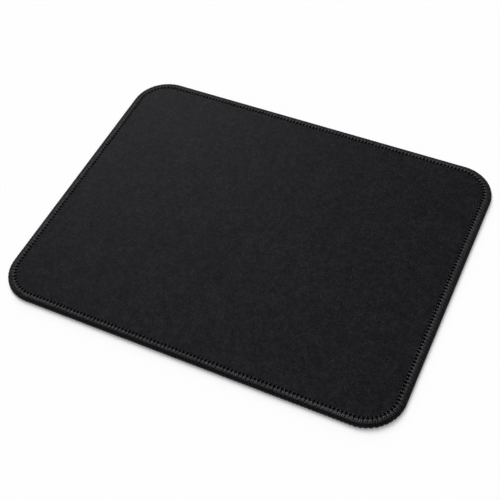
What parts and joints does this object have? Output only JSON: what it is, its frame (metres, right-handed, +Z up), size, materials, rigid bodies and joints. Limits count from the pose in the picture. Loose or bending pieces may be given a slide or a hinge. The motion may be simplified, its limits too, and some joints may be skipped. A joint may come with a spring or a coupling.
{
  "type": "mouse pad",
  "caption": "Flat rectangular cloth-topped mouse pad with rounded corners, a foamed rubber base and an overlock-stitched edge, laid on a desk as the surface for a mouse.",
  "frame": {"origin": "middle of the underside, on the desk", "axes": "+X along the long side, +Y along the short side away from the user, +Z up out of the cloth face"},
  "size_m": [0.26, 0.205, 0.0032],
  "materials": {
    "cloth": "fine plain-woven polyester, matt black",
    "adhesive_film": "hot-melt adhesive film, grey, satin",
    "foam_rubber": "black foamed rubber with an embossed anti-slip underside",
    "thread": "textured polyester overlock thread, soft black"
  },
  "bodies": {
    "root": {"cloth_face": "cloth", "bond_film": "adhesive_film", "rubber_base": "foam_rubber", "needle_thread": "thread", "upper_looper_thread": "thread", "lower_looper_thread": "thread"}
  },
  "joints": []
}
